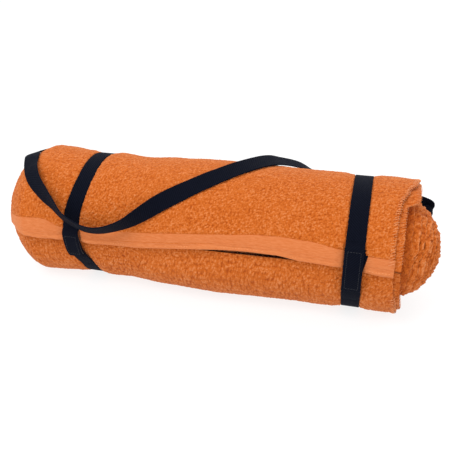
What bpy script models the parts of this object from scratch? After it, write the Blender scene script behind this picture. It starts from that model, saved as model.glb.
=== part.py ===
"""A terry towel, folded double and rolled up, held by two webbing bands and carried by a webbing strap.

Metres, +Z up. X runs along the roll, -Y is its front, and the origin is the middle of the flat underside,
half way between the two bands. Places on the roll are given as a place along X, an angle in degrees from
the top towards the front, and a depth under the roll's outline. The cloth is one spiral, counted in turns
from its free end on the front.
"""

import math

import bmesh
import bpy
from mathutils import Vector

MM = 0.001
GAP = 0.3 * MM  # air between two pieces that touch

# The roll
HALF_WIDTH = 78.5 * MM
HALF_HEIGHT = 76.5 * MM
CENTRE_HEIGHT = 74.5 * MM  # less than the half height, so the underside is flat
BELLY = 2.5 * MM  # how far the lower quarters bulge
LEFT_END = -259 * MM
RIGHT_END = 206 * MM
TURNS = 6.5
PITCH = 9.8 * MM  # two plies of terry
HEM_STEP = 6.3 * MM  # the flat hems are thinner than the pile
DIP_STARTS = 0.8  # turns: from here the cloth dips to pass under its free end
PILE_GROWS = 0.08  # turns from the free end to the full pile
SWELL_FADES, SWELL_ENDS = 0.92, 0.985  # turns between which the outer turn's swells die away
DOME_REACH = 48.5 * MM  # the inner turns push out of the right end
DOME_RADIUS = 65 * MM
LEFT_PEEP = 3 * MM  # the second turn shows past the first at the left end
TAPER_LENGTH = 32 * MM  # the left end narrows over this length, and faster over its outer half
TAPER_MIDDLE = LEFT_END + TAPER_LENGTH / 2
LEFT_TAPER = 0.22  # by this share of its radius
CORE_RADIUS = 1 * MM  # the last turn is rolled up tight

# The free end, which lies along the front
EDGE_ANGLE = 90.0
LEFT_LEAN = 4.5  # degrees that the free end hangs lower at the left
RIGHT_LEAN = -4.0
HEM_TURNS = 0.0120
BORDER_TURNS = 0.045
PILE_RECESS = 1.1 * MM  # the woven border has no pile, so it lies lower
BORDER_FACE = 0.2 * MM
BORDER_THICKNESS = 0.6 * MM
HEM_FACE = 1.2 * MM
HEM_THICKNESS = 1.7 * MM
HEM_PRESS = 1.1 * MM  # thinner under the bands
UNDER_HEM_DROP = 2.2  # degrees that the inner ply's hem shows under the outer one

# The two bands
BAND_PLACES = {"left": -165 * MM, "right": 163 * MM}
BAND_WIDTH = 20 * MM
WEBBING = 1.5 * MM
BAND_SINK = 3.5 * MM  # how far a band pulls the pile in
BAND_AIR = 0.6 * MM  # a band and the pile are both cut into straight steps
BAND_DEPTH = BAND_SINK - BAND_AIR
SINK_HALF_WIDTH = 12.5 * MM
LEAN_REACH = 85 * MM  # the left band's loop isn't square: places this near to it shift along the roll
BAND_LEAN = (
    (-95, 0.0),
    (-85, 0.0),
    (-60, 3.0),
    (-20, 5.0),
    (10, 7.0),
    (33, 8.0),
    (50, 5.5),
    (67, 1.5),
    (80, 0.0),
    (84, 0.0),
    (106, 1.0),
    (118, 6.0),
    (128, 9.5),
    (150, 9.0),
    (200, 5.0),
    (245, 0.0),
    (265, 0.0),
)  # by so many millimetres at these angles
BRIDGE_END = 125.0  # a band spans the step under the free end as far as this angle
FLAP_ANGLES = {"left": (82.0, 110.5), "right": (66.0, 108.0)}  # hinge line and free end
FLAP_RISE = 4.5  # degrees in which a flap climbs over the end that it closes on
LOOP_PATCH = 1.0 * MM
HOOK_PATCH = 0.8 * MM
PATCH_WIDTH = 17 * MM
THREAD = 0.25 * MM

# The carry strap
STRAP_WIDTH = 20 * MM
STRAP_HINGE_ANGLE = -95.0
STRAP_END_LENGTH = 15.0  # degrees of the roll that each sewn end covers
STRAP_CLEARANCE = 0.8 * MM
CORNER_AIR = 1.1 * MM  # more of it where the roll starts to narrow, as the strap is cut into straight steps
STRAP_SHARES = (-0.5, -0.25, 0.0, 0.25, 0.5)  # points across the strap

TERRY = ("terry", (0.716, 0.188, 0.032), 0.95)
BORDER = ("woven_border", (0.807, 0.223, 0.070), 0.85)
COTTON_THREAD = ("orange_thread", (0.82, 0.30, 0.10), 0.7)
BLACK_WEBBING = ("webbing", (0.008, 0.009, 0.015), 0.6)
HOOK = ("hook_tape", (0.006, 0.006, 0.009), 0.5)
LOOP = ("loop_tape", (0.010, 0.010, 0.014), 0.95)
BLACK_THREAD = ("black_thread", (0.012, 0.013, 0.020), 0.6)


def smooth(share):
    share = min(max(share, 0.0), 1.0)
    return share * share * (3 - 2 * share)


# Along the roll: a positive swell stands proud of the outline, a negative one is pressed in.
def end_profile():
    left, right = BAND_PLACES["left"], BAND_PLACES["right"]
    return (
        (LEFT_END, 0.0),
        (TAPER_MIDDLE, 3 * MM),
        (LEFT_END + TAPER_LENGTH, 4 * MM),
        (left - 27 * MM, 3 * MM),
        (left - SINK_HALF_WIDTH, -BAND_SINK),
        (left + SINK_HALF_WIDTH, -BAND_SINK),
        (left + 32 * MM, 0.5 * MM),
        (0.0, 1.5 * MM),
        (right - 27 * MM, 0.0),
        (right - SINK_HALF_WIDTH, -BAND_SINK),
        (right + SINK_HALF_WIDTH, -BAND_SINK),
        (right + 25 * MM, 0.0),
        (RIGHT_END, 0.0),
    )


PROFILE = end_profile()


def swell(x):
    for (x_a, swell_a), (x_b, swell_b) in zip(PROFILE, PROFILE[1:]):
        if x <= x_b:
            share = min(max((x - x_a) / (x_b - x_a), 0.0), 1.0)
            return swell_a + (swell_b - swell_a) * share
    return PROFILE[-1][1]


def outline(angle, extra=0.0):
    """Distance from the roll's centre line to its outline, flat where the roll rests."""
    side, up = math.sin(math.radians(angle)), math.cos(math.radians(angle))
    radius = 1 / math.hypot(side / HALF_WIDTH, up / HALF_HEIGHT) + max(extra, 0.0)
    if up < 0:
        radius += BELLY * (2 * side * up) ** 2
        radius = min(radius, CENTRE_HEIGHT / -up)
    return radius + min(extra, 0.0)


def lean(x, angle):
    """How far a place shifts along the roll with the left band."""
    around = (angle - BAND_LEAN[0][0]) % 360 + BAND_LEAN[0][0]
    near = 1 - smooth(abs(x - BAND_PLACES["left"]) / LEAN_REACH)
    for (angle_a, shift_a), (angle_b, shift_b) in zip(BAND_LEAN, BAND_LEAN[1:]):
        if around <= angle_b:
            share = (around - angle_a) / (angle_b - angle_a)
            return (shift_a + (shift_b - shift_a) * share) * MM * near
    return 0.0


def narrowing(x):
    """Share of its radius that the roll has here."""
    return 1 - LEFT_TAPER * max(0.0, (LEFT_END + TAPER_LENGTH - x) / TAPER_LENGTH) ** 1.15


def place(x, angle, depth, extra=0.0):
    radius = (outline(angle, extra) - depth) * narrowing(x)
    side, up = math.sin(math.radians(angle)), math.cos(math.radians(angle))
    return Vector((x + lean(x, angle), -radius * side, CENTRE_HEIGHT + radius * up))


def turn_depth(turns):
    """Depth of the cloth's outer face, so many turns from the free end."""
    if turns < 1:
        return HEM_STEP * smooth((turns - DIP_STARTS) / (1 - DIP_STARTS))
    grown = smooth((turns - 1) / PILE_GROWS)
    return turn_depth(turns - 1) + HEM_STEP + (PITCH - HEM_STEP) * grown


def edge_lean(x):
    return LEFT_LEAN + (RIGHT_LEAN - LEFT_LEAN) * smooth((x + 0.12) / 0.18)


def turn_angle(turns, x):
    return EDGE_ANGLE - 360 * turns + edge_lean(x) * (1 - smooth(turns / 0.2))


def right_edge(turns):
    radius = HALF_HEIGHT - turn_depth(turns)
    return RIGHT_END + DOME_REACH * math.sqrt(max(0.0, 1 - (radius / DOME_RADIUS) ** 2))


def left_edge(turns):
    peep = LEFT_PEEP * smooth((turns - 0.9) / 0.2)
    return LEFT_END - peep + 2.5 * MM * max(turns - 2.0, 0.0)


def pile_depth(turns):
    """Extra depth where the woven border lies on the cloth."""
    return PILE_RECESS * (1 - smooth((turns - BORDER_TURNS - 0.001) / 0.02))


def free_swell(turns, x):
    """The swell of the outer turn, which ends where the turn passes under the free end."""
    return swell(x) * (1 - smooth((turns - SWELL_FADES) / (SWELL_ENDS - SWELL_FADES)))


# Meshes


def material(kind):
    name, colour, roughness = kind
    found = bpy.data.materials.get(name)
    if found:
        return found
    made = bpy.data.materials.new(name)
    made.use_nodes = True
    shader = made.node_tree.nodes["Principled BSDF"]
    shader.inputs["Base Color"].default_value = (*colour, 1.0)
    shader.inputs["Roughness"].default_value = roughness
    shader.inputs["Metallic"].default_value = 0.0
    return made


def add_object(name, data, kind, origin=None):
    data.materials.append(material(kind))
    made = bpy.data.objects.new(name, data)
    bpy.context.scene.collection.objects.link(made)
    if origin is not None:
        made.location = origin
    return made


def join_rows(bm, row_a, row_b):
    """Faces between two rows. A shorter row keeps pace over the left end and fans out over the rest."""
    if len(row_a) == len(row_b):
        for i in range(len(row_a) - 1):
            bm.faces.new((row_a[i], row_a[i + 1], row_b[i + 1], row_b[i]))
        return
    kept, middle = len(row_b) - 2, len(row_a) // 2
    for i in range(kept):
        bm.faces.new((row_a[i], row_a[i + 1], row_b[i + 1], row_b[i]))
    for i in range(kept, len(row_a) - 1):
        bm.faces.new((row_a[i], row_a[i + 1], row_b[kept if i < middle else kept + 1]))
    bm.faces.new((row_a[middle], row_b[kept + 1], row_b[kept]))


def slab(name, outer, inner, kind, origin=None):
    """A closed solid between two sheets of points, each a list of rows."""
    shift = Vector(origin) if origin is not None else Vector()
    bm = bmesh.new()
    tops = [[bm.verts.new(point - shift) for point in row] for row in outer]
    bottoms = [[bm.verts.new(point - shift) for point in row] for row in inner]
    for a, b in zip(tops, tops[1:]):
        join_rows(bm, a, b)
    for a, b in zip(bottoms, bottoms[1:]):
        join_rows(bm, a, b)
    for end in (0, -1):
        for i in range(len(tops) - 1):
            bm.faces.new((tops[i][end], tops[i + 1][end], bottoms[i + 1][end], bottoms[i][end]))
        join_rows(bm, tops[end], bottoms[end])
    bmesh.ops.recalc_face_normals(bm, faces=bm.faces)
    mesh = bpy.data.meshes.new(name)
    bm.to_mesh(mesh)
    bm.free()
    mesh.shade_smooth()
    mesh.set_sharp_from_angle(angle=math.radians(40))
    return add_object(name, mesh, kind, origin)


def thread(name, points, kind, radius=THREAD, closed=False, origin=None):
    shift = Vector(origin) if origin is not None else Vector()
    curve = bpy.data.curves.new(name, "CURVE")
    curve.dimensions = "3D"
    curve.bevel_depth = radius
    curve.bevel_resolution = 1
    curve.use_fill_caps = True
    line = curve.splines.new("POLY")
    line.points.add(len(points) - 1)
    for point, target in zip(points, line.points):
        target.co = (*(point - shift), 1.0)
    line.use_cyclic_u = closed
    return add_object(name, curve, kind, origin)


def steps(first, last, most):
    count = max(1, math.ceil(abs(last - first) / most - 1e-9))
    return [first + (last - first) * i / count for i in range(count + 1)]


# The towel and its hems


def towel():
    outer, inner = [], []
    stations = [x for x, _ in PROFILE]
    first_turn = [HEM_TURNS + 0.0008, BORDER_TURNS, BORDER_TURNS + 0.021]
    first_turn += steps(0.09, 1.0, 1 / 34)
    for turns in first_turn + steps(1.0, TURNS - 1, 1 / 26)[1:] + steps(TURNS - 1, TURNS, 1 / 26)[1:]:
        depth, under = turn_depth(turns), turn_depth(turns + 1) - GAP
        if turns > TURNS - 1:
            under = HALF_HEIGHT - CORE_RADIUS
        if turns <= 1.0:
            row = [x + (right_edge(turns) - RIGHT_END if x == RIGHT_END else 0) for x in stations]
            outer.append(
                [
                    place(x, turn_angle(turns, x), depth + pile_depth(turns), free_swell(turns, x))
                    for x in row
                ]
            )
        else:
            row = [left_edge(turns), TAPER_MIDDLE, LEFT_END + TAPER_LENGTH, right_edge(turns)]
            outer.append([place(x, turn_angle(turns, x), depth) for x in row])
        inner.append([place(x, turn_angle(turns, x), under) for x in row])
    slab("terry_towel", outer, inner, TERRY)


def border():
    """The strip without pile beside the hem."""
    outer, inner = [], []
    for turns in (HEM_TURNS + 0.001, BORDER_TURNS):
        row = [(x, turn_angle(turns, x)) for x, _ in PROFILE]
        outer.append([place(x, angle, BORDER_FACE, swell(x)) for x, angle in row])
        inner.append([place(x, angle, BORDER_FACE + BORDER_THICKNESS, swell(x)) for x, angle in row])
    slab("dobby_border", outer, inner, BORDER)


def hems():
    outer, inner, under_outer, under_inner = [], [], [], []
    for turns in (0.0, HEM_TURNS):
        for rows in (outer, inner, under_outer, under_inner):
            rows.append([])
        for x, _ in PROFILE:
            angle = turn_angle(turns, x)
            pressed = max(0.0, -swell(x)) / BAND_SINK
            face = HEM_FACE
            split = HEM_FACE + HEM_THICKNESS - HEM_PRESS * pressed
            drop = UNDER_HEM_DROP * smooth((x - 0.165) / 0.03) if turns == 0.0 else 0.0
            outer[-1].append(place(x, angle, face, swell(x)))
            inner[-1].append(place(x, angle, split, swell(x)))
            under_outer[-1].append(place(x, angle + drop, split + GAP, swell(x)))
            under_inner[-1].append(place(x, angle + drop, HEM_STEP - GAP))
    slab("end_hem", outer, inner, BORDER)
    slab("inner_ply_hem", under_outer, under_inner, BORDER)
    seam = [
        place(x, turn_angle(HEM_TURNS * 0.6, x), HEM_FACE - GAP - THREAD, swell(x))
        for (a, _), (b, _) in zip(PROFILE, PROFILE[1:])
        for x in steps(a, b, 30 * MM)[:-1]
    ]
    seam.append(place(RIGHT_END, turn_angle(HEM_TURNS * 0.6, RIGHT_END), HEM_FACE - GAP - THREAD))
    thread("end_hem_thread", seam, COTTON_THREAD)


def side_threads():
    """The overlocked side edges of the two plies, at the right end of the outer turn."""
    radius = 0.5 * MM
    x = RIGHT_END + GAP + radius
    for name, share in (("outer_ply_overlock", 0.2), ("inner_ply_overlock", 0.75)):
        points = []
        for turns in steps(0.08, 0.9, 1 / 34):
            depth = turn_depth(turns) + (turn_depth(turns + 1) - turn_depth(turns)) * share
            points.append(place(x, turn_angle(turns, x), depth))
        thread(name, points, COTTON_THREAD, radius)


# The bands


def band_depth(angle):
    """Depth of a band's inner face: it spans the step under the free end of the towel."""
    around = angle % 360
    if EDGE_ANGLE < around < BRIDGE_END:
        share = (around - EDGE_ANGLE) / (BRIDGE_END - EDGE_ANGLE)
        return BAND_DEPTH + share * turn_depth((EDGE_ANGLE + 360 - BRIDGE_END) / 360)
    if BRIDGE_END <= around < EDGE_ANGLE + 360 * (1 - DIP_STARTS):
        return BAND_DEPTH + turn_depth((EDGE_ANGLE + 360 - around) / 360)
    return BAND_DEPTH


def band_strip(name, middle, width, angles, lift, thickness, kind, origin=None):
    """A strip around the roll whose inner face is lifted this far off a band's inner face."""
    outer, inner = [], []
    for angle in angles:
        rise = lift(angle) if callable(lift) else lift
        depth = band_depth(angle) - rise
        ends = (middle - width / 2, middle + width / 2)
        outer.append([place(x, angle, depth - thickness) for x in ends])
        inner.append([place(x, angle, depth) for x in ends])
    return slab(name, outer, inner, kind, origin)


def frame_thread(name, middle, width, angles, lift, kind, origin=None):
    """A closed rectangle of stitching on the outer face of a strip."""
    points = []
    for side, order in ((-1, angles), (1, angles[::-1])):
        x = middle + side * width / 2
        points += [place(x, angle, band_depth(angle) - lift - GAP - THREAD) for angle in order]
    thread(name, points, kind, closed=True, origin=origin)


def band(side):
    middle = BAND_PLACES[side]
    hinge, free_end = FLAP_ANGLES[side]
    lower_end = hinge + FLAP_RISE + 0.6
    loop_face = WEBBING + GAP
    hook_face = loop_face + LOOP_PATCH + GAP
    flap_face = hook_face + HOOK_PATCH + GAP
    patch_angles = steps(lower_end + 1, free_end - 1.5, 6)
    origin = place(middle, hinge, band_depth(hinge) - WEBBING)

    band_strip(
        f"{side}_band", middle, BAND_WIDTH, steps(hinge, lower_end - 360, 8.5), 0.0, WEBBING, BLACK_WEBBING
    )
    band_strip(f"{side}_loop_patch", middle, PATCH_WIDTH, patch_angles, loop_face, LOOP_PATCH, LOOP)
    band_strip(
        f"{side}_hook_patch", middle, PATCH_WIDTH, patch_angles, hook_face, HOOK_PATCH, HOOK, origin
    )
    flap_angles = [hinge + 0.25] + steps(hinge + FLAP_RISE, free_end, 6)

    def climb(angle):
        return flap_face * min(1.0, (angle - hinge) / FLAP_RISE)

    band_strip(
        f"{side}_flap", middle, BAND_WIDTH, flap_angles, climb, WEBBING, BLACK_WEBBING, origin
    )
    frame_thread(
        f"{side}_hook_stitching",
        middle,
        PATCH_WIDTH - 3 * MM,
        steps(lower_end + 2.5, free_end - 3, 6),
        flap_face + WEBBING,
        BLACK_THREAD,
        origin,
    )
    end_angles = steps(STRAP_HINGE_ANGLE - STRAP_END_LENGTH, STRAP_HINGE_ANGLE, 5)
    band_strip(
        f"{side}_strap_end", middle, STRAP_WIDTH, end_angles, loop_face, WEBBING, BLACK_WEBBING
    )
    frame_thread(
        f"{side}_anchor_stitching",
        middle,
        STRAP_WIDTH - 6 * MM,
        steps(STRAP_HINGE_ANGLE - STRAP_END_LENGTH + 2, STRAP_HINGE_ANGLE - 2, 4),
        loop_face + WEBBING,
        BLACK_THREAD,
    )


# The carry strap. Each row is a place along the roll, an angle, the height of the strap's middle over the
# outline in millimetres, and the way its face looks: along the roll, down around it and out from it.
OUT, IN = (0, 0, 1), (0, 0, -1)
STRAP_ROUTE = (
    (-165, -94.5, -0.7, OUT),
    (-165, -89, 0.2, OUT),
    (-169, -81, 1.8, OUT),
    (-181, -73, 2.4, OUT),
    (-199, -65, 2.8, OUT),
    (-219, -56, 3.0, OUT),
    (-236, -45, 3.0, (-0.15, 0, 1)),
    (-246, -32, 3.0, (-0.3, 0, 1)),
    (-251, -18, 3.0, (-0.35, 0, 1)),
    (-252, -5, 3.2, (-0.35, 0, 1)),
    (-248, 6, 3.8, (-0.32, -0.05, 1)),
    (-241, 16, 4.8, (-0.3, -0.14, 0.94)),
    (-234, 27, 6.2, (-0.33, -0.1, 0.94)),
    (-225, 38, 8.2, (-0.38, 0.02, 0.92)),
    (-215, 47, 9.8, (-0.37, 0.25, 0.9)),
    (-200, 56, 10.8, (-0.41, 0.4, 0.82)),
    (-186, 63, 11.4, (-0.49, 0.54, 0.68)),
    (-171, 71, 12.0, (-0.48, 0.64, 0.6)),
    (-155, 76, 12.2, (-0.31, 0.75, 0.59)),
    (-139, 79, 12.0, (-0.1, 0.8, 0.59)),
    (-123, 79, 11.6, (0.11, 0.84, 0.53)),
    (-106, 76, 11.0, (0.32, 0.81, 0.5)),
    (-89, 71, 10.0, (0.45, 0.7, 0.55)),
    (-72, 63, 8.4, (0.42, 0.52, 0.75)),
    (-54, 53, 6.0, (0.28, 0.3, 0.9)),
    (-33, 42, 4.2, (0.14, 0.12, 1)),
    (-10, 30, 3.4, (0.1, 0.14, 1)),
    (8, 20, 3.6, (0.1, 0.2, 0.97)),
    (22, 11, 4.7, (0.12, 0.26, 0.95)),
    (35, 2, 5.6, (0.16, 0.32, 0.93)),
    (46, -8, 5.7, (0.2, 0.42, 0.88)),
    (56, -18, 6.0, (0.2, 0.55, 0.81)),
    (66, -27, 6.2, (0.15, 0.6, 0.79)),
    (77, -34, 7.0, (0.1, 0.66, 0.75)),
    (90, -40, 6.6, (0.1, 0.62, 0.78)),
    (106, -47, 5.2, (0.05, 0.4, 0.92)),
    (125, -54, 4.4, OUT),
    (147, -62, 5.2, OUT),
    (174, -69, 7.0, OUT),
    (201, -73, 8.6, OUT),
    (226, -76, 9.2, OUT),
    (241.5, -78.5, 8.4, (0.6, 0, 1)),
    (247.5, -80.5, 5.6, (1, 0, 0)),
    (242, -82.5, 3.0, (0.6, 0, -1)),
    (228, -84, 2.0, IN),
    (208, -85, 2.0, IN),
    (186, -85, 2.0, IN),
    (170, -87, 1.0, IN),
    (163, -90.5, 0.0, IN),
    (163, -94.5, -0.7, IN),
)
STRAP_SPACING = 12 * MM


def surface_frame(angle):
    """Along the roll, down around it towards the front, and straight out of it."""
    side, up = math.sin(math.radians(angle)), math.cos(math.radians(angle))
    return Vector((1, 0, 0)), Vector((0, -up, -side)), Vector((0, -side, up))


def spline(values, at):
    """Catmull-Rom through a list of vectors."""
    i = min(int(at), len(values) - 2)
    t = at - i
    before = values[max(i - 1, 0)]
    a, b = values[i], values[i + 1]
    after = values[min(i + 2, len(values) - 1)]
    return 0.5 * (
        2 * a
        + (b - before) * t
        + (2 * before - 5 * a + 4 * b - after) * t * t
        + (3 * a - before - 3 * b + after) * t**3
    )


def resting_depth(x, angle):
    """Depth of what lies uppermost on the roll here: the pile, or a band over it."""
    depth = outline(angle) - outline(angle, swell(x))
    if TAPER_MIDDLE - STRAP_SPACING / 2 < x < LEFT_END + TAPER_LENGTH + STRAP_SPACING / 2:
        depth -= CORNER_AIR
    for middle in BAND_PLACES.values():
        if abs(x - middle) < BAND_WIDTH / 2 + 3 * MM:
            depth = min(depth, band_depth(angle) - WEBBING)
    return depth


def clearing(point, needed):
    """How far this point has to move out of the roll to clear it by the needed distance."""
    if not LEFT_END - LEFT_PEEP < point.x < RIGHT_END:
        return 0.0
    angle = math.degrees(math.atan2(-point.y, point.z - CENTRE_HEIGHT))
    radius = math.hypot(point.y, point.z - CENTRE_HEIGHT)
    x = point.x - lean(point.x, angle)
    surface = (outline(angle) - resting_depth(x, angle)) * narrowing(x)
    return max(0.0, surface + needed - radius)


def strap_sections():
    """The strap's middle, across and face directions, evenly spaced along its route."""
    middles, faces = [], []
    for x, angle, lift, face in STRAP_ROUTE:
        along, down, out = surface_frame(angle)
        middles.append(place(x * MM, angle, -lift * MM))
        faces.append((along * face[0] + down * face[1] + out * face[2]).normalized())
    fine = [i / 20 for i in range(20 * (len(middles) - 1) + 1)]
    points = [spline(middles, at) for at in fine]
    lengths = [0.0]
    for a, b in zip(points, points[1:]):
        lengths.append(lengths[-1] + (b - a).length)
    sections = []
    for target in steps(0.0, lengths[-1], STRAP_SPACING):
        k = max(1, next((i for i, length in enumerate(lengths) if length >= target - 1e-9), len(fine) - 1))
        share = (target - lengths[k - 1]) / (lengths[k] - lengths[k - 1])
        at = fine[k - 1] + (fine[k] - fine[k - 1]) * share
        heading = spline(middles, min(at + 0.05, len(middles) - 1)) - spline(middles, max(at - 0.05, 0))
        heading.normalize()
        face = spline(faces, at)
        face = (face - heading * face.dot(heading)).normalized()
        sections.append((spline(middles, at), heading.cross(face), face))
    return sections


def carry_strap():
    hinge = place(0.0, STRAP_HINGE_ANGLE, band_depth(STRAP_HINGE_ANGLE) - 2 * WEBBING - GAP)
    outer, inner = [], []
    for middle, across, face in strap_sections():
        row_out, row_in = [], []
        for share in STRAP_SHARES:
            spot = middle + across * STRAP_WIDTH * share
            _, _, out = surface_frame(math.degrees(math.atan2(-spot.y, spot.z - CENTRE_HEIGHT)))
            faces = (spot + face * WEBBING / 2, spot - face * WEBBING / 2)
            push = out * max(clearing(point, STRAP_CLEARANCE) for point in faces)
            row_out.append(faces[0] + push)
            row_in.append(faces[1] + push)
        outer.append(row_out)
        inner.append(row_in)
    slab("carry_strap", outer, inner, BLACK_WEBBING, hinge)


def main():
    for old in list(bpy.data.objects):
        bpy.data.objects.remove(old)
    towel()
    border()
    hems()
    side_threads()
    for side in BAND_PLACES:
        band(side)
    carry_strap()


main()
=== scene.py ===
import math

import bpy
import numpy as np
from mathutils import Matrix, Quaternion, Vector


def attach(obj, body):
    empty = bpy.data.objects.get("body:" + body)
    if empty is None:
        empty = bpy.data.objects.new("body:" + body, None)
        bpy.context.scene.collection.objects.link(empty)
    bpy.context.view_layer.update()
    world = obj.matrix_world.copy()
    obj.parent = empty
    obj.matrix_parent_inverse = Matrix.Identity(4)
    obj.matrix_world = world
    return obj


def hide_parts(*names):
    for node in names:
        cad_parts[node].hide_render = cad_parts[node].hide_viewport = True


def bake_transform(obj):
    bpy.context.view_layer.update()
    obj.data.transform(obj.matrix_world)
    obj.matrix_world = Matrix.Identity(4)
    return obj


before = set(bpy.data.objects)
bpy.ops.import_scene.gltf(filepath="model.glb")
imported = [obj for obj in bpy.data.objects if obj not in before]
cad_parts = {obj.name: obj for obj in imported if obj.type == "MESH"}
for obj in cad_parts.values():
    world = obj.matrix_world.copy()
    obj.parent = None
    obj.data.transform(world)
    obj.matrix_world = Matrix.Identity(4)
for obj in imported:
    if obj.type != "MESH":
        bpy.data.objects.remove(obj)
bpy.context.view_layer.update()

# Metres, +Z up. X runs along the roll and -Y is its front. A place on the roll is a place along X, an angle
# in degrees from the top towards the front, and a depth under the outline. The cloth is one spiral, counted
# in turns from its free end on the front. Every size here is the CAD part's, unless its comment says more.
MM = 0.001
GAP = 0.3 * MM
HALF_WIDTH, HALF_HEIGHT, CENTRE_HEIGHT = 78.5 * MM, 76.5 * MM, 74.5 * MM
BELLY = 2.5 * MM
LEFT_END, RIGHT_END = -259 * MM, 206 * MM
TAPER_LENGTH, LEFT_TAPER, LEFT_PEEP = 32 * MM, 0.22, 3 * MM
PITCH, HEM_STEP = 9.8 * MM, 6.3 * MM
DIP_STARTS, PILE_GROWS = 0.8, 0.08
SWELL_FADES, SWELL_ENDS = 0.92, 0.985
DOME_REACH, DOME_RADIUS, DOME_RECESS = 48.5 * MM, 63 * MM, 12 * MM
EDGE_ANGLE, LEFT_LEAN, RIGHT_LEAN = 90.0, 4.5, -4.0
HEM_TURNS = 0.0120
BAND_PLACES = {"left": -165 * MM, "right": 163 * MM}
BAND_WIDTH, WEBBING, BAND_DEPTH = 20 * MM, 1.5 * MM, 2.9 * MM
LEAN_REACH = 85 * MM
BAND_LEAN = (
    (-95, 0.0),
    (-85, 0.0),
    (-60, 3.0),
    (-20, 5.0),
    (10, 7.0),
    (33, 8.0),
    (50, 5.5),
    (67, 1.5),
    (80, 0.0),
    (84, 0.0),
    (106, 1.0),
    (118, 6.0),
    (128, 9.5),
    (150, 9.0),
    (200, 5.0),
    (245, 0.0),
    (265, 0.0),
)  # by so many millimetres at these angles
BRIDGE_END = 125.0
FLAP_ANGLES = {"left": (82.0, 110.5), "right": (66.0, 108.0)}
FLAP_RISE = 4.5
LOOP_PATCH, HOOK_PATCH, PATCH_WIDTH = 1.0 * MM, 0.8 * MM, 17 * MM
STRAP_WIDTH, STRAP_HINGE_ANGLE, STRAP_END_LENGTH = 20 * MM, -95.0, 15.0
STRAP_CLEARANCE = 0.8 * MM

# The looks only
TURNS = 7.0  # the cloth winds on to the middle of the roll
FINE = 1.1 * MM  # between rows of the mesh where the pile shows
COARSE = 1.6 * MM  # on the turns inside
PLY_GAP = 0.4 * MM
FOLD = 5.0 * MM  # length of the rounded fold at the left end
LOOP_PITCH = 2.2 * MM  # between loops of the terry


def smooth(share):
    share = np.clip(share, 0.0, 1.0)
    return share * share * (3 - 2 * share)


def along_stations(x, stations):
    """A smooth line through (place, value) pairs."""
    places, values = np.array(stations).T
    x = np.asarray(x, float)
    i = np.clip(np.searchsorted(places, x) - 1, 0, len(places) - 2)
    share = smooth((x - places[i]) / (places[i + 1] - places[i]))
    return values[i] + (values[i + 1] - values[i]) * share


# Camera, light and floor


def camera():
    yaw, pitch, roll = math.radians(15.73), math.radians(25.12), math.radians(-0.26)
    direction = Vector(
        (-math.sin(yaw) * math.cos(pitch), math.cos(yaw) * math.cos(pitch), -math.sin(pitch))
    )
    data = bpy.data.cameras.new("camera")
    data.sensor_width = 36.0
    data.lens = 46.25
    made = bpy.data.objects.new("camera", data)
    made.location = (0.1776, -0.6207, 0.3766)
    made.rotation_euler = (direction.to_track_quat("-Z", "Y") @ Quaternion((0, 0, 1), roll)).to_euler()
    bpy.context.scene.collection.objects.link(made)
    bpy.context.scene.camera = made


def area_light(name, place, target, size, power, colour=(1, 1, 1)):
    data = bpy.data.lights.new(name, "AREA")
    data.shape = "DISK"
    data.size = size
    data.energy = power
    data.color = colour
    made = bpy.data.objects.new(name, data)
    made.location = place
    made.rotation_euler = (Vector(target) - Vector(place)).to_track_quat("-Z", "Y").to_euler()
    bpy.context.scene.collection.objects.link(made)


def studio():
    world = bpy.data.worlds.new("studio")
    world.use_nodes = True
    background = world.node_tree.nodes["Background"]
    background.inputs["Color"].default_value = (1.0, 1.0, 1.0, 1.0)
    background.inputs["Strength"].default_value = 0.93
    bpy.context.scene.world = world
    bpy.context.scene.view_settings.view_transform = "Standard"
    area_light("key", (-0.5, -0.9, 1.5), (0, 0, 0.05), 0.9, 13)
    area_light("fill", (1.2, -0.8, 0.9), (0, 0, 0.05), 1.0, 3)
    area_light("rim", (0.2, 1.2, 1.1), (0, 0, 0.1), 0.9, 5)
    data = bpy.data.meshes.new("floor")
    half = 12.0
    data.from_pydata([(-half, -half, 0), (half, -half, 0), (half, half, 0), (-half, half, 0)], [], [(0, 1, 2, 3)])
    data.materials.append(paper())
    floor = bpy.data.objects.new("floor", data)
    bpy.context.scene.collection.objects.link(floor)


# Materials


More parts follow.
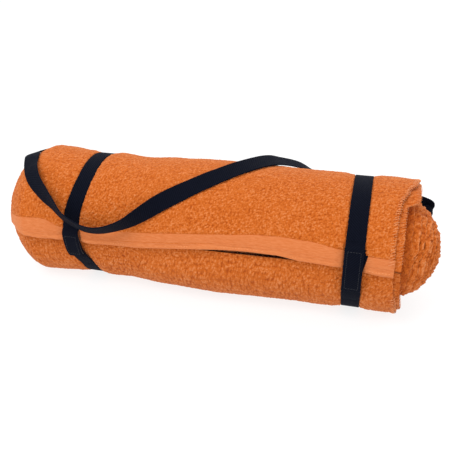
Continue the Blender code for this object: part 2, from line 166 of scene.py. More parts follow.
class Nodes:
    """A short way to write a node tree."""

    def __init__(self, name):
        self.material = bpy.data.materials.new(name)
        self.material.use_nodes = True
        self.tree = self.material.node_tree
        self.shader = self.tree.nodes["Principled BSDF"]

    def add(self, kind, inputs=(), **settings):
        node = self.tree.nodes.new(kind)
        for key, value in settings.items():
            setattr(node, key, value)
        for key, value in dict(inputs).items():
            self.set(node.inputs[key], value)
        return node

    def set(self, socket, value):
        if isinstance(value, bpy.types.NodeSocket):
            self.tree.links.new(value, socket)
        else:
            socket.default_value = value

    def noise(self, vector, scale, detail=2.0, roughness=0.5):
        node = self.add(
            "ShaderNodeTexNoise",
            {"Vector": vector, "Scale": scale, "Detail": detail, "Roughness": roughness},
        )
        return node.outputs["Fac"]

    def maths(self, operation, a, b, clamp=False):
        return self.add("ShaderNodeMath", {0: a, 1: b}, operation=operation, use_clamp=clamp).outputs[0]

    def mix(self, share, a, b):
        node = self.add("ShaderNodeMix", data_type="RGBA")
        self.set(node.inputs["Factor"], share)
        for socket, value in ((node.inputs[6], a), (node.inputs[7], b)):
            self.set(socket, value if isinstance(value, bpy.types.NodeSocket) else (*value, 1.0))
        return node.outputs[2]

    def ramp(self, value, low, high):
        node = self.add("ShaderNodeMapRange", {"Value": value, "From Min": low, "From Max": high})
        return node.outputs["Result"]

    def bump(self, height, distance, strength=1.0, before=None):
        node = self.add("ShaderNodeBump", {"Height": height, "Distance": distance, "Strength": strength})
        if before is not None:
            self.set(node.inputs["Normal"], before)
        return node.outputs["Normal"]

    def finish(self, colour, roughness, normal=None, **constants):
        self.set(self.shader.inputs["Base Color"], colour)
        self.set(self.shader.inputs["Roughness"], roughness)
        if normal is not None:
            self.set(self.shader.inputs["Normal"], normal)
        for key, value in constants.items():
            self.shader.inputs[key.replace("_", " ")].default_value = value
        return self.material


def paper():
    """A white sweep that is lit from below, so shadows on it stay faint."""
    n = Nodes("white_paper")
    return n.finish((0.18, 0.18, 0.18, 1.0), 0.9, Emission_Color=(1, 1, 1, 1), Emission_Strength=0.83)


def terry_material():
    n = Nodes("terry_cotton")
    at = n.add("ShaderNodeTexCoord").outputs["Object"]
    pile = n.add("ShaderNodeAttribute", attribute_name="pile").outputs["Fac"]
    fine = n.noise(at, 560.0, 3.0, 0.65)
    clumps = n.noise(at, 230.0, 3.0, 0.6)
    broad = n.noise(at, 22.0, 2.0)
    height = n.maths("ADD", n.maths("MULTIPLY", pile, 0.42), n.maths("MULTIPLY", fine, 0.58))
    # Painted shade and painted highlight: low loops take the dark deep colour, as the hollows between loops lie in
    # shade, and the loop tips take the light tip colour.
    deep, body, tip = (0.33, 0.050, 0.002), (0.54, 0.119, 0.012), (0.72, 0.262, 0.096)
    colour = n.mix(n.ramp(height, 0.25, 0.50), deep, body)
    colour = n.mix(n.ramp(height, 0.50, 0.76), colour, tip)
    colour = n.mix(n.maths("MULTIPLY", n.ramp(clumps, 0.45, 0.75), 0.12), colour, (0.43, 0.082, 0.006))
    colour = n.mix(n.maths("MULTIPLY", n.ramp(broad, 0.35, 0.7), 0.14), colour, (0.60, 0.152, 0.024))
    curl = n.add(
        "ShaderNodeTexVoronoi", {"Vector": at, "Scale": 620.0, "Randomness": 1.0}, feature="SMOOTH_F1"
    ).outputs["Distance"]
    normal = n.bump(curl, 0.0009, 0.8)
    normal = n.bump(fine, 0.0007, 0.8, normal)
    return n.finish(
        colour,
        0.95,
        normal,
        Sheen_Weight=0.22,
        Sheen_Roughness=0.45,
        Sheen_Tint=(1.0, 0.66, 0.42, 1.0),
        Specular_IOR_Level=0.15,
    )


def border_material(name, tone=1.0):
    """Flat woven cotton: fine ribs along the roll and a thread or two that stand out."""
    n = Nodes(name)
    at = n.add("ShaderNodeTexCoord").outputs["Object"]
    stretched = n.add("ShaderNodeMapping", {"Vector": at, "Scale": (0.18, 1.0, 1.0)}).outputs["Vector"]
    ribs = n.noise(stretched, 900.0, 3.0, 0.6)
    grain = n.noise(at, 1500.0, 2.0)
    broad = n.noise(at, 30.0, 2.0)
    base, light = (0.60 * tone, 0.163 * tone, 0.043 * tone), (0.68 * tone, 0.222 * tone, 0.076 * tone)
    colour = n.mix(n.ramp(ribs, 0.35, 0.7), base, light)
    colour = n.mix(n.maths("MULTIPLY", broad, 0.25), colour, (0.53, 0.130, 0.024))
    normal = n.bump(ribs, 0.0004, 0.7)
    normal = n.bump(grain, 0.0003, 0.6, normal)
    return n.finish(
        colour,
        0.85,
        normal,
        Sheen_Weight=0.25,
        Sheen_Roughness=0.4,
        Sheen_Tint=(1.0, 0.70, 0.5, 1.0),
        Specular_IOR_Level=0.2,
    )


def webbing_material():
    """Woven polyester: the weave follows the strip's own UV map, which is in metres."""
    n = Nodes("woven_webbing")
    at = n.add("ShaderNodeUVMap", uv_map="weave").outputs["UV"]
    warp = n.add(
        "ShaderNodeTexWave",
        {"Vector": at, "Scale": 330.0, "Distortion": 0.6, "Detail": 1.0, "Detail Scale": 2.0},
        wave_type="BANDS",
        bands_direction="X",
    ).outputs["Fac"]
    weft = n.add(
        "ShaderNodeTexWave",
        {"Vector": at, "Scale": 210.0, "Distortion": 0.6, "Detail": 1.0, "Detail Scale": 2.0},
        wave_type="BANDS",
        bands_direction="DIAGONAL",
    ).outputs["Fac"]
    rough = n.noise(n.add("ShaderNodeTexCoord").outputs["Object"], 160.0, 3.0, 0.6)
    weave = n.maths("MULTIPLY", warp, weft)
    colour = n.mix(n.ramp(weave, 0.0, 0.8), (0.0012, 0.0016, 0.0045), (0.0064, 0.0076, 0.0160))
    colour = n.mix(n.maths("MULTIPLY", n.ramp(rough, 0.45, 0.8), 0.3), colour, (0.0070, 0.0085, 0.0170))
    normal = n.bump(weave, 0.00035, 0.9)
    return n.finish(
        colour,
        n.ramp(rough, -1.6, 1.2),
        normal,
        Sheen_Weight=0.02,
        Sheen_Roughness=0.4,
        Sheen_Tint=(0.72, 0.78, 1.0, 1.0),
        Specular_IOR_Level=0.07,
        Specular_Tint=(0.6, 0.72, 1.0, 1.0),
    )


def thread_material(name, colour, light):
    n = Nodes(name)
    at = n.add("ShaderNodeTexCoord").outputs["Object"]
    twist = n.noise(at, 1900.0, 2.0)
    return n.finish(
        n.mix(twist, colour, light), 0.6, n.bump(twist, 0.0002, 0.7), Sheen_Weight=0.2, Sheen_Roughness=0.4
    )


def tape_material(name, colour, light, scale, roughness):
    n = Nodes(name)
    at = n.add("ShaderNodeTexCoord").outputs["Object"]
    tufts = n.noise(at, scale, 3.0, 0.7)
    return n.finish(
        n.mix(tufts, colour, light), roughness, n.bump(tufts, 0.0004, 0.8), Sheen_Weight=0.15
    )


# Noise, all seeded


def wrapped(table, i, j):
    return table[i % table.shape[0], j % table.shape[1]]


def noise(u, v, seed):
    """Smooth noise between -1 and 1 that changes over a distance of one."""
    table = np.random.default_rng(seed).uniform(-1, 1, (256, 256))
    i, j = np.floor(u).astype(int), np.floor(v).astype(int)
    s, t = smooth(u - i), smooth(v - j)
    low = wrapped(table, i, j) * (1 - s) + wrapped(table, i + 1, j) * s
    high = wrapped(table, i, j + 1) * (1 - s) + wrapped(table, i + 1, j + 1) * s
    return low * (1 - t) + high * t


def loops(u, v, seed):
    """Height, 0 to 1, of loops that stand one apart, out of line with each other."""
    rng = np.random.default_rng(seed)
    at_u, at_v = rng.uniform(0.1, 0.9, (256, 256)), rng.uniform(0.1, 0.9, (256, 256))
    tall = rng.uniform(0.55, 1.0, (256, 256))
    i, j = np.floor(u).astype(int), np.floor(v).astype(int)
    best = np.zeros_like(u)
    for di in (-1, 0, 1):
        for dj in (-1, 0, 1):
            a, b = i + di, j + dj
            away = (u - a - wrapped(at_u, a, b)) ** 2 + (v - b - wrapped(at_v, a, b)) ** 2
            best = np.maximum(best, wrapped(tall, a, b) * (1 - away / 0.55))
    return best


# Places on the roll

PINCH = -3.6 * MM  # the pile under a band
EDGE_WAVE = (
    (-0.263, -3.0),
    (-0.205, 0.6),
    (-0.165, 1.0),
    (-0.105, 0.6),
    (-0.050, -0.8),
    (0.030, -2.0),
    (0.080, -2.0),
    (0.110, 0.6),
    (0.150, 1.6),
    (0.178, 4.2),
    (0.220, 4.6),
)  # degrees by which the free end wanders off its straight line
BORDER_WIDTH = (
    (-0.263, 12.0),
    (-0.205, 17.0),
    (-0.175, 11.0),
    (-0.150, 9.5),
    (-0.090, 13.0),
    (0.020, 12.5),
    (0.070, 15.0),
    (0.110, 17.0),
    (0.160, 13.5),
    (0.220, 13.0),
)  # degrees of woven border between the free end and the pile


def swell_stations():
    found = [
        (LEFT_END - 6 * MM, -3 * MM),
        (LEFT_END + 24 * MM, 4.2 * MM),
        (LEFT_END + 42 * MM, 3.4 * MM),
        (-110 * MM, -1.5 * MM),
        (-60 * MM, 0.6 * MM),
        (0.0, 1.5 * MM),
        (60 * MM, 1.0 * MM),
        (120 * MM, 0.4 * MM),
        (RIGHT_END - 8 * MM, 0.2 * MM),
        (RIGHT_END + 12 * MM, -1.0 * MM),
    ]
    for middle, rim in ((BAND_PLACES["left"], 0.6 * MM), (BAND_PLACES["right"], 0.3 * MM)):
        found += [(middle + side * 8.8 * MM, PINCH) for side in (-1, 1)]
        found += [(middle + side * 12.0 * MM, rim - 1.4 * MM) for side in (-1, 1)]
        found += [(middle + side * 21.0 * MM, rim) for side in (-1, 1)]
    return sorted(found)


SWELL = swell_stations()


def swell(x):
    return along_stations(x, SWELL)


def outline(angle, extra=0.0):
    side, up = np.sin(np.radians(angle)), np.cos(np.radians(angle))
    radius = 1 / np.hypot(side / HALF_WIDTH, up / HALF_HEIGHT) + np.maximum(extra, 0.0)
    radius = radius + np.where(up < 0, BELLY * (2 * side * up) ** 2, 0.0)
    radius = np.where(up < 0, np.minimum(radius, CENTRE_HEIGHT / np.maximum(-up, 1e-9)), radius)
    return radius + np.minimum(extra, 0.0)


def lean(x, angle):
    """How far a place shifts along the roll with the left band, whose loop isn't square."""
    angles, shifts = np.array(BAND_LEAN).T
    around = (angle - angles[0]) % 360 + angles[0]
    return np.interp(around, angles, shifts) * MM * (1 - smooth(np.abs(x - BAND_PLACES["left"]) / LEAN_REACH))


def narrowing(x):
    """Share of its radius that the roll has here: its left end is drawn in."""
    share = np.maximum(0.0, (LEFT_END + TAPER_LENGTH - x) / TAPER_LENGTH)
    return 1 - LEFT_TAPER * share**1.15


def place(x, angle, depth, extra=0.0):
    radius = (outline(angle, extra) - depth) * narrowing(x)
    side, up = np.sin(np.radians(angle)), np.cos(np.radians(angle))
    x = x + lean(x, angle) + 0 * radius
    return np.stack((x, -radius * side, CENTRE_HEIGHT + radius * up), axis=-1)


def turn_depth(turns):
    turns = np.asarray(turns, float)
    whole = np.floor(turns)
    rest = turns - whole
    dip = HEM_STEP * smooth((rest - DIP_STARTS) / (1 - DIP_STARTS))
    grown = HEM_STEP + (PITCH - HEM_STEP) * smooth(rest / PILE_GROWS)
    return dip + np.where(whole > 0, (whole - 1) * PITCH + grown, 0.0)


def edge_lean(x):
    lean = LEFT_LEAN + (RIGHT_LEAN - LEFT_LEAN) * smooth((x + 0.12) / 0.18)
    return lean + along_stations(x, EDGE_WAVE)


def turn_angle(turns, x):
    from_edge = np.where(turns < 1.5, np.abs(turns - np.round(turns)), 1.0)
    return EDGE_ANGLE - 360 * turns + edge_lean(x) * (1 - smooth(from_edge / 0.2))


def pile_share(turns, x):
    """0 on the woven border, 1 where the pile has risen beside it."""
    edge = along_stations(x, BORDER_WIDTH) / 360
    return smooth((turns - edge) / 0.0055)


def dome(radius):
    """Place along the roll of the end of a ply that far from the middle."""
    bulge = np.sqrt(np.maximum(0.0, 1 - (radius / DOME_RADIUS) ** 2))
    return RIGHT_END - DOME_RECESS + (DOME_REACH + DOME_RECESS) * bulge


EDGE_BOW = (
    (-180, 12.0),
    (-120, 20.0),
    (-60, 21.0),
    (-20, 20.0),
    (0, 16.0),
    (14, 8.5),
    (31, 1.5),
    (45, -0.7),
    (62, -1.8),
    (76, -1.0),
    (91, 0.5),
    (110, 3.0),
    (125, 6.5),
    (140, 9.0),
    (180, 12.0),
)  # millimetres by which the outer ply's side edge bows out, by angle
INNER_EDGE_BOW = (
    (-180, 14.0),
    (-120, 20.5),
    (-60, 21.0),
    (0, 21.0),
    (19, 20.5),
    (24, 18.5),
    (30, 8.0),
    (45, 7.0),
    (62, 7.0),
    (78, 7.3),
    (107, 10.0),
    (140, 13.0),
    (180, 14.0),
)  # the same for the ply under it


def side_edge(angle):
    around = (angle + 180) % 360 - 180
    return RIGHT_END - 2 * MM + along_stations(around, EDGE_BOW) * MM


def inner_side_edge(angle):
    around = (angle + 180) % 360 - 180
    return RIGHT_END - 2 * MM + along_stations(around, INNER_EDGE_BOW) * MM


# Meshes


def new_object(name, vertices, faces, material, body, smooth_shaded=True):
    mesh = bpy.data.meshes.new(name)
    mesh.from_pydata(vertices, [], faces)
    mesh.validate()
    mesh.materials.append(material)
    if smooth_shaded:
        mesh.shade_smooth()
    made = bpy.data.objects.new(name, mesh)
    bpy.context.scene.collection.objects.link(made)
    if body:
        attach(made, body)
    return made


def tube_faces(rows, columns, first=0):
    """Quads of a grid whose columns close into a ring."""
    i, j = np.meshgrid(np.arange(rows - 1), np.arange(columns), indexing="ij")
    after = (j + 1) % columns
    quads = np.stack((i * columns + j, i * columns + after, (i + 1) * columns + after, (i + 1) * columns + j), -1)
    return (quads.reshape(-1, 4) + first).tolist()


def zip_faces(ring_a, ring_b, share_a, share_b):
    """Triangles between two rings of different counts, matched by how far round each vertex is."""
    faces, a, b = [], 0, 0
    share_a, share_b = [*share_a, 1.0], [*share_b, 1.0]
    count_a, count_b = len(ring_a), len(ring_b)
    while a < count_a or b < count_b:
        if b >= count_b or (a < count_a and share_a[a + 1] <= share_b[b + 1]):
            faces.append((ring_a[a], ring_a[(a + 1) % count_a], ring_b[b % count_b]))
            a += 1
        else:
            faces.append((ring_a[a % count_a], ring_b[(b + 1) % count_b], ring_b[b]))
            b += 1
    return faces


def grid_normals(points):
    """Outward normals of a grid of points whose columns close into a ring."""
    down = np.gradient(points, axis=0)
    around = np.roll(points, -1, axis=1) - np.roll(points, 1, axis=1)
    normals = np.cross(around, down)
    return normals / np.maximum(np.linalg.norm(normals, axis=-1, keepdims=True), 1e-12)


# The towel: two plies joined by a fold at the left end, wound up from their other edges


def section(turns, middle_columns, end_columns):
    """Rings of (place, depth, how much pile) around the two plies, one ring for each count of turns."""
    outer, inner = turn_depth(turns), turn_depth(turns + 1) - GAP
    middle = (outer + inner) / 2
    half = (inner - outer) / 2
    angle = EDGE_ANGLE - 360 * turns
    first = turns < 1.0
    left = LEFT_END - LEFT_PEEP * smooth((turns - 0.9) / 0.2) + 2.5 * MM * np.maximum(turns - 2.0, 0.0)
    columns = []

    def add(x, depth, pile):
        columns.append((x + 0 * turns, depth + 0 * turns, pile + 0 * turns))

    def ply(face, back, tip, start, count, pile):
        """Left to right along a ply's outer face, round its end and back along its inner face."""
        thickness = back - face
        for share in np.linspace(0, 1, count)[:-1]:
            add(left + FOLD + (start - left - FOLD) * share, face, pile)
        for share in np.linspace(0, 1, end_columns):
            turn = share * math.pi / 2
            drop = np.where(first, 0.28, 0.82) * thickness * (1 - math.cos(turn))
            add(start + (tip - start) * math.sin(turn), face + drop, 1.0)
        for share in (0.3, 0.6, 0.85):
            deep = face + thickness * np.where(first, 0.28 + 0.30 * share, 0.82 + 0.18 * share)
            add(tip - 0.9 * MM * share**2, deep, 0.6)
        add(tip - 9 * MM, back, 0.0)
        for share in (0.33, 0.66):
            add(tip + (left + FOLD - tip) * share, back, 0.0)

    radius = HALF_HEIGHT - outer
    tip = np.where(first, side_edge(angle), dome(radius))
    start = np.where(first, tip - 4 * MM, dome(radius + PITCH / 2) - 3 * MM)
    ply(outer, middle - PLY_GAP / 2, tip, np.minimum(start, tip - 3 * MM), middle_columns, 1.0)
    add(left + 0.9 * FOLD, middle - PLY_GAP / 2, 0.0)
    add(left + 0.8 * FOLD, middle, 0.0)
    radius = HALF_HEIGHT - middle
    tip = np.where(first, inner_side_edge(angle), dome(radius))
    start = np.where(first, tip - 14 * MM, dome(radius + PITCH / 2) - 3 * MM)
    ply(middle + PLY_GAP / 2, inner, tip, np.minimum(start, tip - 3 * MM), 4, 0.0)
    for share in np.linspace(-1, 1, 11)[:-1]:
        turn = share * math.pi / 2
        add(left + FOLD * (1 - math.cos(turn)), middle - half * math.sin(turn), 0.4 + 0.6 * (share > -0.5))
    x, depth, pile = (np.stack(values, axis=1) for values in zip(*columns))
    return x, depth, pile, outer[:, None], inner[:, None]


def terry_height(u, v, pile):
    """Relief of the cloth in metres, and how high the loops stand from 0 to 1: low loops get painted shade, high
    ones a painted highlight.
    """
    bend_u = noise(u / (9 * MM), v / (9 * MM), 11) * 1.1
    bend_v = noise(u / (9 * MM), v / (9 * MM), 12) * 1.1
    loop = loops(u / LOOP_PITCH, v / LOOP_PITCH, 1)
    curl = noise(u / (5.5 * MM) + bend_u, v / (2.6 * MM) + bend_v, 2)
    clump = noise(u / (4.2 * MM), v / (4.0 * MM), 3)
    wave = noise(u / (24 * MM), v / (19 * MM), 4)
    slow = noise(u / (58 * MM), v / (41 * MM), 5)
    height = pile * (1.15 * MM * loop + 0.20 * MM * curl + 0.08 * MM * clump - 0.72 * MM)
    height = height + (0.15 + 0.85 * pile) * (0.40 * MM * wave + 0.8 * MM * slow)
    # The tone sets painted shade where the loops stand low and a painted highlight where they stand high.
    tone = np.clip(0.06 + 0.84 * loop + 0.10 * curl + 0.04 * clump, 0, 1) * pile
    return height, tone + 0.55 * (1 - pile)


def cloth(turns, middle_columns, end_columns):
    """Points of the cloth at these counts of turns, and the height of its pile, with painted shade at the foot of
    the dome.
    """
    x, depth, pile, outer, inner = section(turns, middle_columns, end_columns)
    grid = turns[:, None] + 0 * x
    share = (depth - outer) / (inner - outer)
    first = np.where(grid < 1, 1 - smooth((grid - SWELL_FADES) / (SWELL_ENDS - SWELL_FADES)), 0.0)
    risen = np.where(grid < 1, pile_share(grid, x), 1.0)
    recess = 1.5 * MM * (1 - risen) * (1 - share)
    angle = turn_angle(grid, x)
    around = (angle + 180) % 360 - 180
    sag = 4.0 * MM * np.exp(-(((around - 125) / 30) ** 2)) * np.exp(-(((x + 0.03) / 0.09) ** 2))
    extra = first * (1 - share) * (swell(x) + sag)
    points = place(x, angle, depth + recess, extra)
    normals = grid_normals(points)
    run = np.linalg.norm(np.diff(points, axis=1, append=points[:, :1]), axis=-1)
    around_ring = np.cumsum(run, axis=1) - run
    along_spiral = grid * 2 * math.pi * (HALF_HEIGHT - outer - 5 * MM)
    amount = pile * risen
    for middle in BAND_PLACES.values():
        under = smooth((10.6 * MM - np.abs(x - middle)) / (2.2 * MM))
        amount = amount * (1 - 0.8 * first * under * (share < 0.5))
    height, tone = terry_height(around_ring, along_spiral, amount)
    shaggy = (grid > 1.02) & (pile > 0)
    tuft = noise(around_ring / (3.4 * MM), along_spiral / (3.4 * MM), 6)
    height = height + np.where(shaggy, 1.1 * MM * tuft, 0.0)
    # Painted shade: the tone falls to the darkest colour towards the foot of the dome at the right end, where the
    # valley beside it lies in shade, and the tufts on the dome get painted shade between them and a painted
    # highlight on top.
    base = smooth((x - RIGHT_END - 3 * MM) / (16 * MM))
    tone = np.where(shaggy & (x > RIGHT_END - 20 * MM), np.clip(tone + 0.42 * tuft - 0.05, 0, 1) * base, tone)
    height = height * np.where(pile > 0, 1.0, 0.0)
    points = points + normals * height[..., None]
    points[..., 2] = np.maximum(points[..., 2], 0.15 * MM)
    share_round = around_ring / (around_ring[:, -1:] + run[:, -1:])
    return points, tone, share_round


def terry_towel():
    per_turn = 2 * math.pi * HALF_HEIGHT / FINE
    joint_turns = 1.02
    turns_a = np.linspace(HEM_TURNS + 0.0008, joint_turns, int(per_turn * joint_turns))
    turns_b = [joint_turns + 0.005]
    while turns_b[-1] < TURNS:
        radius = HALF_HEIGHT - float(turn_depth(turns_b[-1])) - 4 * MM
        turns_b.append(turns_b[-1] + COARSE / (2 * math.pi * max(radius, 8 * MM)))
    turns_b = np.array(turns_b)
    middle = int((RIGHT_END - LEFT_END) / FINE)
    points_a, tone_a, round_a = cloth(turns_a, middle, 9)
    points_b, tone_b, round_b = cloth(turns_b, 5, 12)
    rows_a, columns_a = tone_a.shape
    rows_b, columns_b = tone_b.shape
    first_b = rows_a * columns_a
    faces = tube_faces(rows_a, columns_a) + tube_faces(rows_b, columns_b, first_b)
    ring_a = list(range((rows_a - 1) * columns_a, first_b))
    ring_b = list(range(first_b, first_b + columns_b))
    faces += zip_faces(ring_a, ring_b, round_a[-1], round_b[0])
    faces.append(list(range(columns_a)))
    last = first_b + (rows_b - 1) * columns_b
    faces.append(list(range(last, last + columns_b))[::-1])
    points = np.concatenate((points_a.reshape(-1, 3), points_b.reshape(-1, 3)))
    made = new_object("rolled_towel", points.tolist(), faces, MATERIALS["terry"], "roll")
    # The pile attribute carries the tone: painted shade and painted highlight of the loops, and painted shade at
    # the foot of the dome.
    values = made.data.attributes.new("pile", "FLOAT", "POINT")
    values.data.foreach_set("value", np.concatenate((tone_a.ravel(), tone_b.ravel())).astype(np.float32))
    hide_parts("terry_towel")
    return made


# The woven border and the hems


def swept_along(name, ring, material, nodes, spacing=1.5 * MM):
    """A closed strip along the free end. ring(x) gives rows of points for each place along the roll."""
    last = float(side_edge(EDGE_ANGLE))
    x = np.linspace(LEFT_END + 1 * MM, last, int((last - LEFT_END) / spacing))
    points = ring(x)
    rows, columns, _ = points.shape
    faces = tube_faces(rows, columns)
    faces.append(list(range(columns))[::-1])
    faces.append(list(range((rows - 1) * columns, rows * columns)))
    made = new_object(name, points.reshape(-1, 3).tolist(), faces, material, "roll")
    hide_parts(*nodes)
    return made


def woven_border():
    ribs = 16

    def ring(x):
        x = x[:, None]
        width = along_stations(x, BORDER_WIDTH) / 360 + 0.002
        start = HEM_TURNS - 0.0006
        share = np.linspace(0, 1, 3 * ribs + 1)[None, :]
        turns = start + (width - start) * share
        raised = 0.13 * MM * np.cos(2 * math.pi * ribs * share) * smooth((1 - share) / 0.1)
        line = 0.35 * MM * np.exp(-(((share - 0.16) / 0.025) ** 2))
        wave = 0.25 * MM * noise(x / (31 * MM), share * 2, 21)
        face = 0.80 * MM + line - raised + wave
        under = turns[:, ::-6]
        top = place(x, turn_angle(turns, x), face, swell(x))
        bottom = place(x, turn_angle(under, x), 2.0 * MM + 0 * under, swell(x))
        return np.concatenate((top, bottom), axis=1)

    return swept_along("woven_border", ring, MATERIALS["border"], ["dobby_border"])


def hem(name, node, face, thickness, drop, seed):
    """A folded hem: a flat tube with a round lip at its free edge."""

    def ring(x):
        x = x[:, None]
        turn = np.linspace(0, 2 * math.pi, 20, endpoint=False)[None, :]
        squeeze = np.clip(-swell(x) / -PINCH, 0, 1)
        thick = thickness * (1 - 0.45 * squeeze)
        wave = 0.3 * MM * noise(x / (26 * MM), 0 * x, seed) + 0.12 * MM * noise(x / (3 * MM), 0 * x, seed + 1)
        reach = HEM_TURNS / 2 + 0.0006
        turns = reach - reach * np.sign(np.cos(turn)) * np.abs(np.cos(turn)) ** 0.6 + wave * 0.6
        depth = face + thick / 2 - thick / 2 * np.sign(np.sin(turn)) * np.abs(np.sin(turn)) ** 0.7
        lean = drop * smooth((x - 0.165) / 0.03)
        return place(x, turn_angle(turns, x) + lean, depth + wave, swell(x))

    return swept_along(name, ring, MATERIALS["hem"], [node])


# Threads


def tube(path, radius, sides=6):
    """Vertices and faces of a round thread along a path, closed at both ends."""
    path = np.asarray(path, float)
    heading = np.gradient(path, axis=0)
    heading /= np.maximum(np.linalg.norm(heading, axis=1, keepdims=True), 1e-12)
    helper = np.where(np.abs(heading[:, :1]) < 0.8, [[1.0, 0, 0]], [[0, 0, 1.0]])
    side = np.cross(heading, helper)
    side /= np.linalg.norm(side, axis=1, keepdims=True)
    other = np.cross(heading, side)
    turn = np.linspace(0, 2 * math.pi, sides, endpoint=False)[None, :, None]
    end = np.ones(len(path))
    end[[0, -1]] = 0.45
    rings = path[:, None] + radius * end[:, None, None] * (
        side[:, None] * np.cos(turn) + other[:, None] * np.sin(turn)
    )
    faces = tube_faces(len(path), sides)
    faces.append(list(range(sides)))
    faces.append(list(range((len(path) - 1) * sides, len(path) * sides))[::-1])
    return rings.reshape(-1, 3), faces


def threads(name, paths, radius, material, body, nodes):
    vertices, faces, count = [], [], 0
    for path in paths:
        points, found = tube(path, radius)
        vertices.append(points)
        faces += [[i + count for i in face] for face in found]
        count += len(points)
    made = new_object(name, np.concatenate(vertices).tolist(), faces, material, body)
    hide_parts(*nodes)
    return made


def stitches_along(points, outward, length, gap, rise):
    """Short stitches laid one after another along a line: each dips at its two ends."""
    points, outward = np.asarray(points), np.asarray(outward)
    lengths = np.concatenate(([0], np.cumsum(np.linalg.norm(np.diff(points, axis=0), axis=1))))
    count = max(1, int(lengths[-1] / (length + gap)))
    starts = np.arange(count) * lengths[-1] / count
    paths = []
    for start in starts:
        at = start + np.linspace(0, length, 5)
        path = np.stack([np.interp(at, lengths, points[:, k]) for k in range(3)], -1)
        lift = np.stack([np.interp(at, lengths, outward[:, k]) for k in range(3)], -1)
        path += lift * (rise * np.array([-1.0, 0.6, 1.0, 0.6, -1.0]))[:, None]
        paths.append(path)
    return paths


def hem_stitches():
    x = np.linspace(LEFT_END + 3 * MM, RIGHT_END - 4 * MM, 500)
    line = HEM_TURNS * 0.55
    points = place(x, turn_angle(line, x), 1.12 * MM, swell(x))
    above = place(x, turn_angle(line, x), 0.12 * MM, swell(x))
    paths = stitches_along(points, (above - points) / MM, 2.6 * MM, 0.7 * MM, 0.15 * MM)
    return threads(
        "hem_stitches", paths, 0.24 * MM, MATERIALS["orange"], "roll", ["end_hem_thread"]
    )


def overlock(name, node, edge, face_share, thickness, seed):
    """Loops of thread over a ply's side edge."""
    rng = np.random.default_rng(seed)
    paths = []
    step = 3.1 * MM / (2 * math.pi * HALF_HEIGHT)
    for turns in np.arange(0.03, 0.93, step):
        angle = EDGE_ANGLE - 360 * turns + rng.uniform(-0.3, 0.3)
        outer, inner = float(turn_depth(turns)), float(turn_depth(turns + 1))
        face = outer + (inner - outer) * face_share
        x = float(edge(angle))
        extra = float(swell(x)) * (1 - face_share)
        slant = rng.uniform(1.2, 2.2)
        reach = rng.uniform(4.2, 5.4) * MM
        route = (
            (-reach, -0.45 * MM, slant),
            (-reach * 0.6, -0.55 * MM, slant * 0.6),
            (-1.4 * MM, -0.45 * MM, slant * 0.2),
            (0.3 * MM, 0.2 * MM, 0.0),
            (0.7 * MM, 1.3 * MM, -0.2),
            (0.2 * MM, 2.3 * MM, -0.5),
            (-1.6 * MM, 2.9 * MM, -0.8),
        )
        path = [place(x + dx, angle + turn, face + deep, extra) for dx, deep, turn in route]
        paths.append(np.array(path).reshape(-1, 3))
    return threads(name, paths, thickness / 2, MATERIALS["orange"], "roll", [node])


# Webbing

RIB = 2.1 * MM  # between ribs of the weave
ROW = 0.55 * MM  # between rows of the mesh


def resampled(points, spacing):
    lengths = np.concatenate(([0], np.cumsum(np.linalg.norm(np.diff(points, axis=0), axis=1))))
    at = np.linspace(0, lengths[-1], max(3, int(lengths[-1] / spacing)))
    return at, lengths


def webbing_strip(name, middles, acrosses, faces_out, width, body, slot="webbing", seed=31, ribs=True):
    """A woven strip: flat faces with slanting ribs, thicker woven edges and cut ends."""
    at, lengths = resampled(middles, ROW)
    middle, across, out = (
        np.stack([np.interp(at, lengths, values[:, k]) for k in range(3)], -1)
        for values in (middles, acrosses, faces_out)
    )
    across /= np.linalg.norm(across, axis=1, keepdims=True)
    out -= across * np.sum(out * across, axis=1, keepdims=True)
    out /= np.linalg.norm(out, axis=1, keepdims=True)
    shares = np.array([-1, -0.985, -0.95, -0.90, -0.84, -0.7, -0.5, -0.3, -0.1, 0.1, 0.3, 0.5, 0.7, 0.84, 0.90, 0.95, 0.985, 1])
    thick = WEBBING / 2 * np.array([0.35, 0.75, 0.95, 1.0, 0.90, *[0.93] * 8, 0.90, 1.0, 0.95, 0.75, 0.35])
    ring_share = np.concatenate((shares, shares[::-1]))[None, :]
    ring_thick = np.concatenate((thick, -thick[::-1]))[None, :]
    along = at[:, None]
    slant = np.abs(ring_share) * 2.4 * MM
    rib = 0.10 * MM * np.cos(2 * math.pi * (along + slant) / RIB) * (np.abs(ring_share) < 0.93) * ribs
    edge_wave = 0.16 * MM * np.cos(2 * math.pi * along / RIB) + 0.2 * MM * noise(along / (17 * MM), 0 * along, seed)
    sideways = ring_share * (width / 2 + edge_wave * (np.abs(ring_share) > 0.9))
    height = ring_thick + rib * np.sign(ring_thick)
    points = middle[:, None] + across[:, None] * sideways[..., None] + out[:, None] * height[..., None]
    rows, columns, _ = points.shape
    faces = tube_faces(rows, columns)
    faces.append(list(range(columns))[::-1])
    faces.append(list(range((rows - 1) * columns, rows * columns)))
    made = new_object(name, points.reshape(-1, 3).tolist(), faces, MATERIALS["webbing"], body)
    flat = np.stack((ring_share * width / 2 + 0 * along, along + 0 * ring_share), -1).reshape(-1, 2)
    index = np.empty(len(made.data.loops), np.int32)
    made.data.loops.foreach_get("vertex_index", index)
    layer = made.data.uv_layers.new(name="weave")
    layer.data.foreach_set("uv", flat[index].ravel().astype(np.float32))
    recalculate(made)
    return made


def recalculate(made):
    """Turns every face outwards."""
    import bmesh

    bm = bmesh.new()
    bm.from_mesh(made.data)
    bmesh.ops.recalc_face_normals(bm, faces=bm.faces)
    bm.to_mesh(made.data)
    bm.free()


